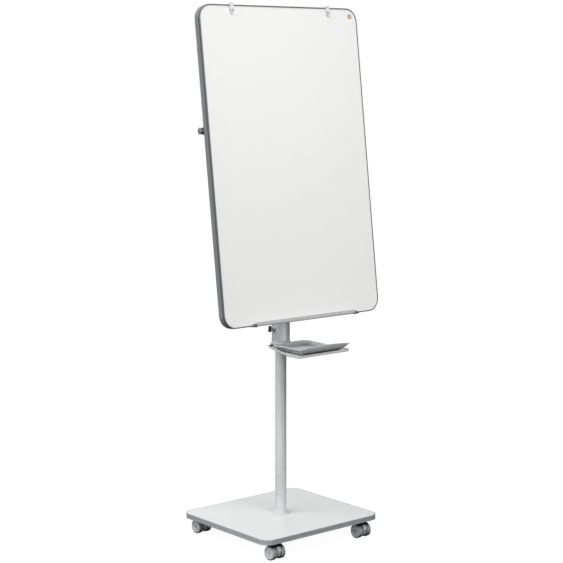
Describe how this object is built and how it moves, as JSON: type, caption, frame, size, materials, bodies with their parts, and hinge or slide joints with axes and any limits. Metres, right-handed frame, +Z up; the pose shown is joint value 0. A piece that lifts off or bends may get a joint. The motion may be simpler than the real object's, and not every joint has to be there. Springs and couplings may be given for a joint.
{
  "type": "flipchart easel",
  "caption": "Mobile flipchart easel: whiteboard in a rounded frame with paper hooks and a pen ledge, tilting on a telescopic column with a tray and a wheeled base.",
  "frame": {"origin": "on the floor under the column's axis, which is the middle of the base", "axes": "+Z up along the column, -Y towards the reader in front of the board, +X to that reader's right"},
  "size_m": [0.706, 0.475, 1.8741],
  "materials": {
    "base_laminate": "satin",
    "edge_band": "satin",
    "steel_bright": "satin",
    "steel_dark": "satin",
    "column_silver": "satin",
    "sleeve_grey": "satin",
    "tray_light": "satin",
    "tray_grey": "matte",
    "black_plastic": "matte",
    "knob_grey": "matte",
    "enamel_white": "gloss",
    "honeycomb_core": "matte",
    "back_sheet": "satin",
    "frame_grey": "satin",
    "ledge_silver": "satin",
    "badge_amber": "gloss",
    "hook_clear": "gloss",
    "disc_grey": "satin",
    "tyre_grey": "matte"
  },
  "bodies": {
    "base": {"base_board": "base_laminate", "base_edge_band": "edge_band", "column_foot_ring": "column_silver", "base_washer_plate": "steel_dark", "base_fasteners": "steel_bright", "column_tube": "column_silver", "column_plug": "steel_dark", "tube_top_bush": "black_plastic", "caster_mounts": "steel_dark"},
    "sleeve": {"sleeve_tube": "sleeve_grey", "sleeve_bush": "black_plastic", "lock_boss": "steel_bright", "upper_mast": "sleeve_grey", "cross_tube": "sleeve_grey", "cross_tube_inserts": "steel_bright", "tray_clamp": "sleeve_grey", "tray_holder": "tray_light", "tray_pan": "tray_grey", "tray_screws": "steel_bright"},
    "board": {"board_face": "enamel_white", "board_core": "honeycomb_core", "board_back": "back_sheet", "edge_frame": "frame_grey", "pen_ledge": "ledge_silver", "ledge_end_caps": "knob_grey", "tilt_brackets": "steel_dark", "bracket_screws": "steel_bright", "badge_plate": "badge_amber"},
    "lock_knob": {"lock_knob": "black_plastic", "lock_spindle": "steel_bright"},
    "hook_left": {"hook_left": "hook_clear"},
    "hook_right": {"hook_right": "hook_clear"},
    "tilt_knob_left": {"tilt_knob_left": "knob_grey", "tilt_stud_left": "steel_bright"},
    "tilt_knob_right": {"tilt_knob_right": "knob_grey", "tilt_stud_right": "steel_bright"},
    "caster_fl": {"caster_fl_housing": "black_plastic", "caster_fl_axle": "steel_bright"},
    "wheel_fl_l": {"caster_fl_disc_l": "disc_grey", "caster_fl_tyre_l": "tyre_grey"},
    "wheel_fl_r": {"caster_fl_disc_r": "disc_grey", "caster_fl_tyre_r": "tyre_grey"},
    "caster_fr": {"caster_fr_housing": "black_plastic", "caster_fr_axle": "steel_bright"},
    "wheel_fr_l": {"caster_fr_disc_l": "disc_grey", "caster_fr_tyre_l": "tyre_grey"},
    "wheel_fr_r": {"caster_fr_disc_r": "disc_grey", "caster_fr_tyre_r": "tyre_grey"},
    "caster_bl": {"caster_bl_housing": "black_plastic", "caster_bl_axle": "steel_bright"},
    "wheel_bl_l": {"caster_bl_disc_l": "disc_grey", "caster_bl_tyre_l": "tyre_grey"},
    "wheel_bl_r": {"caster_bl_disc_r": "disc_grey", "caster_bl_tyre_r": "tyre_grey"},
    "caster_br": {"caster_br_housing": "black_plastic", "caster_br_axle": "steel_bright"},
    "wheel_br_l": {"caster_br_disc_l": "disc_grey", "caster_br_tyre_l": "tyre_grey"},
    "wheel_br_r": {"caster_br_disc_r": "disc_grey", "caster_br_tyre_r": "tyre_grey"}
  },
  "joints": [
    {"name": "height_slide", "type": "slide", "parent": "base", "child": "sleeve", "axis": [0, 0, 1], "range_m": [-0.19, 0.15]},
    {"name": "board_tilt", "type": "hinge", "parent": "sleeve", "child": "board", "pos_m": [0, 0, 1.448], "axis": [1, 0, 0], "range_deg": [-20, 2]},
    {"name": "height_lock", "type": "hinge", "parent": "sleeve", "child": "lock_knob", "pos_m": [-0.04, 0, 0.751], "axis": [-1, 0, 0], "range_deg": [0, 360]},
    {"name": "hook_left_slide", "type": "slide", "parent": "board", "child": "hook_left", "axis": [1, 0, 0], "range_m": [-0.06, 0.06]},
    {"name": "hook_right_slide", "type": "slide", "parent": "board", "child": "hook_right", "axis": [1, 0, 0], "range_m": [-0.06, 0.06]},
    {"name": "tilt_lock_left", "type": "hinge", "parent": "sleeve", "child": "tilt_knob_left", "pos_m": [-0.33, 0, 1.448], "axis": [-1, 0, 0], "range_deg": [0, 360]},
    {"name": "tilt_lock_right", "type": "hinge", "parent": "sleeve", "child": "tilt_knob_right", "pos_m": [0.33, 0, 1.448], "axis": [1, 0, 0], "range_deg": [0, 360]},
    {"name": "caster_fl_swivel", "type": "hinge", "parent": "base", "child": "caster_fl", "pos_m": [-0.199, -0.184, 0.05], "axis": [0, 0, 1], "continuous": true},
    {"name": "wheel_fl_l_roll", "type": "hinge", "parent": "caster_fl", "child": "wheel_fl_l", "pos_m": [-0.218, -0.206, 0.025], "axis": [1, 0, 0], "continuous": true},
    {"name": "wheel_fl_r_roll", "type": "hinge", "parent": "caster_fl", "child": "wheel_fl_r", "pos_m": [-0.18, -0.206, 0.025], "axis": [1, 0, 0], "continuous": true},
    {"name": "caster_fr_swivel", "type": "hinge", "parent": "base", "child": "caster_fr", "pos_m": [0.199, -0.184, 0.05], "axis": [0, 0, 1], "continuous": true},
    {"name": "wheel_fr_l_roll", "type": "hinge", "parent": "caster_fr", "child": "wheel_fr_l", "pos_m": [0.18, -0.206, 0.025], "axis": [1, 0, 0], "continuous": true},
    {"name": "wheel_fr_r_roll", "type": "hinge", "parent": "caster_fr", "child": "wheel_fr_r", "pos_m": [0.218, -0.206, 0.025], "axis": [1, 0, 0], "continuous": true},
    {"name": "caster_bl_swivel", "type": "hinge", "parent": "base", "child": "caster_bl", "pos_m": [-0.199, 0.184, 0.05], "axis": [0, 0, 1], "continuous": true},
    {"name": "wheel_bl_l_roll", "type": "hinge", "parent": "caster_bl", "child": "wheel_bl_l", "pos_m": [-0.218, 0.206, 0.025], "axis": [1, 0, 0], "continuous": true},
    {"name": "wheel_bl_r_roll", "type": "hinge", "parent": "caster_bl", "child": "wheel_bl_r", "pos_m": [-0.18, 0.206, 0.025], "axis": [1, 0, 0], "continuous": true},
    {"name": "caster_br_swivel", "type": "hinge", "parent": "base", "child": "caster_br", "pos_m": [0.199, 0.184, 0.05], "axis": [0, 0, 1], "continuous": true},
    {"name": "wheel_br_l_roll", "type": "hinge", "parent": "caster_br", "child": "wheel_br_l", "pos_m": [0.18, 0.206, 0.025], "axis": [1, 0, 0], "continuous": true},
    {"name": "wheel_br_r_roll", "type": "hinge", "parent": "caster_br", "child": "wheel_br_r", "pos_m": [0.218, 0.206, 0.025], "axis": [1, 0, 0], "continuous": true}
  ]
}
